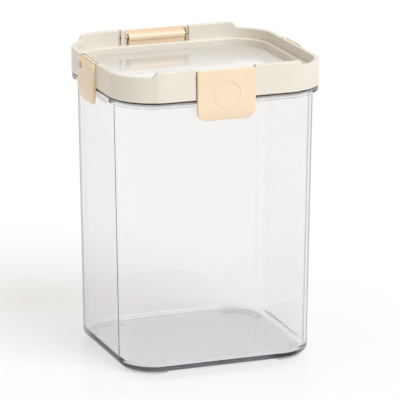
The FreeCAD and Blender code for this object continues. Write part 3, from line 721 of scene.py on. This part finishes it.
def at_pocket_mouth(edge):
    """Upright edges where a pocket opens through the outer wall."""
    ends = [vert.co / MM for vert in edge.verts]
    middle = (ends[0] + ends[1]) / 2
    upright = (ends[0] - ends[1]).xy.length < NEAR
    return upright and any(abs(middle.x - x) < NEAR and abs(middle.y - y) < NEAR for x, y in mouths)


rounded = [edge for edge in bm.edges if at_pocket_mouth(edge)]
bmesh.ops.bevel(bm, geom=rounded, offset=POCKET_ROUND * MM, offset_type="OFFSET", segments=5,
                profile=0.5, affect="EDGES", material=-1)
bm.to_mesh(lid.data)
bm.free()
soften(lid, LID_EDGE)
dress(lid, cream, "lid", "lid_frame")
print("rounded pocket edges:", len(rounded))

# %% [markdown]
# ## The latches
#
# A latch is a plate with rounded lower corners. Behind its upper part sits the barrel that the
# pin runs through, a thin cheek closes each end, and low down a hook reaches under the jar's
# flange. The wide ones have a shallow thumb ring, and an apron under the barrel that closes the
# pocket. The side ones slant at the top, so that they stay below the rim, and have a small round
# dimple. Each is built round its own pin with -Y outward, then turned to its side of the lid.

# %% Latch parts
PROUD, PLATE, BARREL_SETBACK, CHEEK = 2.59, 2.39, 2.5, 0.9
RUN_GAP, APRON_FACE, APRON_BELOW = 0.05, 0.9, 1.0
LOWER_CORNER, UPPER_CORNER, FACE_ROUND, LATCH_EDGE = 6.5, 0.8, 0.6, 0.2
# How far a joined part reaches into the plate, and how far a cutter reaches past what it cuts.
OVERLAP, CUT_PAST, CUT_START, FLAT_HEIGHT = 0.1, 1.0, 0.5, 0.75
WEB_SHARE, CHEEK_IN, CHEEK_LOW, CHEEK_DOWN = 0.6, 0.02, 1.0, 0.6
DIMPLE_RADIUS, DIMPLE_DEPTH, DIMPLE_IN, DIMPLE_DOWN = 2.7, 1.3, 7.0, 4.7
FLANGE, HOOK_GAP, HOOK_HEIGHT, HOOK_NOSE, HOOK_REACH = 4.3, 0.8, 3.2, 1.4, 1.2
RING_RADIUS, RING_WIDTH, RING_DEPTH, RING_HEIGHT, RING_STEPS = 9.2, 0.9, 0.25, 2.4, 96
WIDE_TOP, WIDE_DROP, SIDE_TOP, SIDE_DROP = 19.8, 14.5, 16.2, 12.4
TUCK, TUCK_STEPS, WIDE_TUCK, SIDE_TUCK, SIDE_SLANT, TOP_BAND = 1.5, 8, 9.5, 13.0, 1.6, 1.0


def latch_plate(name, half, face, top, tip, tuck_height, slant):
    """The plate: round lower corners, a face that tucks in towards the tip and a soft front edge."""
    bm = bmesh.new()
    corners = bmesh.ops.create_grid(bm, x_segments=1, y_segments=1, size=1.0)["verts"]
    bmesh.ops.scale(bm, vec=(half * MM, (top - tip) / 2 * MM, 1.0), verts=corners)
    upright = Matrix.Rotation(math.radians(90), 3, "X")
    bmesh.ops.rotate(bm, cent=(0, 0, 0), matrix=upright, verts=corners)
    bmesh.ops.translate(bm, vec=(0.0, -face * MM, (top + tip) / 2 * MM), verts=corners)
    lower = [vert for vert in bm.verts if vert.co.z < (top + tip) / 2 * MM]
    upper = [vert for vert in bm.verts if vert not in lower]
    bmesh.ops.bevel(bm, geom=lower, offset=LOWER_CORNER * MM, offset_type="OFFSET", segments=12,
                    profile=0.5, affect="VERTICES", material=-1)
    bmesh.ops.bevel(bm, geom=upper, offset=UPPER_CORNER * MM, offset_type="OFFSET", segments=4,
                    profile=0.5, affect="VERTICES", material=-1)
    bm.faces.ensure_lookup_table()
    raise_face(bm, bm.faces[0], (0.0, PLATE * MM, 0.0))
    for step in range(1, TUCK_STEPS):
        level = tip + tuck_height * step / TUCK_STEPS
        bmesh.ops.bisect_plane(bm, geom=bm.verts[:] + bm.edges[:] + bm.faces[:], dist=1e-7,
                               plane_co=(0.0, 0.0, level * MM), plane_no=(0.0, 0.0, 1.0))
    front = [vert for vert in bm.verts if vert.co.y < (NEAR - face) * MM]
    for vert in front:
        share = max(tip + tuck_height - vert.co.z / MM, 0.0) / tuck_height
        vert.co.y += TUCK * share * share * MM
        if vert.co.z > (top - TOP_BAND) * MM:
            vert.co.z -= slant * MM
    rim = [edge for edge in bm.edges if all(vert in front for vert in edge.verts)
           and edge.calc_face_angle(0.0) > SHARP]
    bmesh.ops.bevel(bm, geom=rim, offset=FACE_ROUND * MM, offset_type="OFFSET", segments=4,
                    profile=0.5, affect="EDGES", material=-1)
    return as_object(bm, name)


def hook_wedge(half, back, tip, pin_height):
    """A wedge whose top is level and whose underside slopes up to the tip."""
    catch = -(FLANGE + HOOK_GAP + pin_height)
    wedge = block("hook", (-half, -back - OVERLAP, catch - HOOK_HEIGHT), (half, tip, catch))
    bm = bmesh.new()
    bm.from_mesh(wedge.data)
    nose = [vert for vert in bm.verts
            if vert.co.y > (tip - NEAR) * MM and vert.co.z < (catch - NEAR) * MM]
    bmesh.ops.translate(bm, vec=(0.0, 0.0, (HOOK_HEIGHT - HOOK_NOSE) * MM), verts=nose)
    bm.to_mesh(wedge.data)
    bm.free()
    return wedge


def thumb_ring(face, height):
    """A flat ring that cuts the shallow groove in a wide latch's face."""
    outer, inner = RING_RADIUS + RING_WIDTH / 2, RING_RADIUS - RING_WIDTH / 2
    ring = rod("thumb_ring", outer, (0, -face - CUT_START, height),
               (0, -face + RING_DEPTH, height), RING_STEPS)
    carve(ring, [rod("thumb_core", inner, (0, -face - CUT_PAST, height),
                     (0, -face + CUT_PAST, height), RING_STEPS)])
    return ring


def finger_dimple(face, x, height):
    """A rod that sinks the small round dimple near the upper corner of a side latch's face."""
    return rod("dimple", DIMPLE_RADIUS, (x, -face - CUT_START, height),
               (x, -face + DIMPLE_DEPTH, height))


print("latch parts ready")

# %% Latches
TURNS = {"front": 0.0, "back": 180.0, "left": -90.0, "right": 90.0}


def make_latch(side):
    """Join the parts of one latch, drill it for its pin and hang it on the lid."""
    size = LATCHES[side]
    wide = side in ("front", "back")
    half, height, inset = size["half"], size["height"], size["inset"]
    top, tip = (WIDE_TOP, -WIDE_DROP) if wide else (SIDE_TOP, -SIDE_DROP)
    top, tip = top - height, tip - height
    face = PROUD + inset
    back = face - PLATE
    barrel_half = half - BARREL_SETBACK
    tuck_height, slant = (WIDE_TUCK, 0.0) if wide else (SIDE_TUCK, SIDE_SLANT)
    latch = latch_plate("latch_" + side + "_moulding", half, face, top, tip, tuck_height, slant)
    parts = [rod("barrel", size["barrel"], (-barrel_half, 0, 0), (barrel_half, 0, 0)),
             block("web", (-barrel_half, -back - OVERLAP, -size["barrel"] + NEAR),
                   (barrel_half, -size["pin"] * WEB_SHARE, size["barrel"] - NEAR)),
             hook_wedge(size["hook"], back, HOOK_REACH - inset, height)]
    if wide:
        parts.append(block("apron", (-barrel_half, -back - OVERLAP, LEDGE - APRON_BELOW - height),
                           (barrel_half, APRON_FACE, 0.0)))
    for sign in (-1, 1):
        x_low, x_high = sorted((sign * (half - CHEEK_IN), sign * (half - CHEEK)))
        parts.append(block("cheek", (x_low, -back - OVERLAP, CHEEK_LOW - height),
                           (x_high, -back + size["cheek"], top - CHEEK_DOWN)))
    carve(latch, parts, "UNION")
    cuts = [rod("bore", size["pin"] + RUN_GAP, (-half - CUT_PAST, 0, 0), (half + CUT_PAST, 0, 0))]
    if wide:
        cuts.append(thumb_ring(face, RING_HEIGHT - height))
    else:
        cuts.append(block("flat", (-half - CUT_PAST, RUN_GAP - back, FLAT_HEIGHT),
                          (half + CUT_PAST, PAST, PAST)))
        cuts.append(finger_dimple(face, DIMPLE_IN - half, top - DIMPLE_DOWN))
    carve(latch, cuts)
    shift, reach = size["shift"], (FRONT if wide else SIDE) - inset
    places = {"front": (shift, -reach), "back": (shift, reach),
              "left": (-reach, shift), "right": (reach, shift)}
    hinge = Vector((*places[side], LID_BOTTOM + height)) * MM
    bm = bmesh.new()
    bm.from_mesh(latch.data)
    place = Matrix.Translation(hinge) @ Matrix.Rotation(math.radians(TURNS[side]), 4, "Z")
    bmesh.ops.transform(bm, matrix=place, verts=bm.verts[:])
    bm.to_mesh(latch.data)
    bm.free()
    soften(latch, LATCH_EDGE, angle=40.0)
    dress(latch, peach, "latch_" + side, "latch_" + side)
    return latch


for side in LATCHES:
    latch = make_latch(side)
    print("latch", side, "has", len(latch.data.polygons), "faces")

# %% [markdown]
# ## The pins
#
# Each pin is a cut length of wire with broken ends. The wide ones run from the slot behind the ear
# to a blind seat in the wall at the other end of the pocket, the side ones between two blind seats.

# %% Pins
PIN_EDGE = 0.2


def make_pin(side):
    """Draw one pin along the longer side of its solid's box, and return its length."""
    low, high = (Vector(corner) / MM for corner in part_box("pin_" + side))
    middle = (low + high) / 2
    along = Vector((1, 0, 0)) if high.x - low.x > high.y - low.y else Vector((0, 1, 0))
    half = (high - low).dot(along) / 2
    radius = (high.z - low.z) / 2
    pin = rod("pin_" + side + "_wire", radius, middle - along * half, middle + along * half, 32)
    soften(pin, PIN_EDGE)
    dress(pin, steel, "lid", "pin_" + side)
    return half * 2


for side in LATCHES:
    print("pin", side, "%.1f mm long" % make_pin(side))

# %% [markdown]
# ## The jar, the window and the gasket
#
# These three solids have the right shape and smooth normals already, so they only get their
# finishes.

# %% Finish the carried-over solids
for node, material in (("jar", clear), ("lid_window", window), ("gasket", silicone)):
    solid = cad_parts[node]
    for place in solid.material_slots:
        place.material = material
    print(node, "is now", material.name)

# %% [markdown]
# ## Sizes
#
# The box of the dressed model is printed, in millimetres. The dressed model has to stay
# inside the box of the solids.

# %% Print the dressed model's box
seen_box = [list(corner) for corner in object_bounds()]
rounded_box = [[round(value / MM, 1) for value in corner] for corner in seen_box]
print("box of the dressed model, mm:", rounded_box)
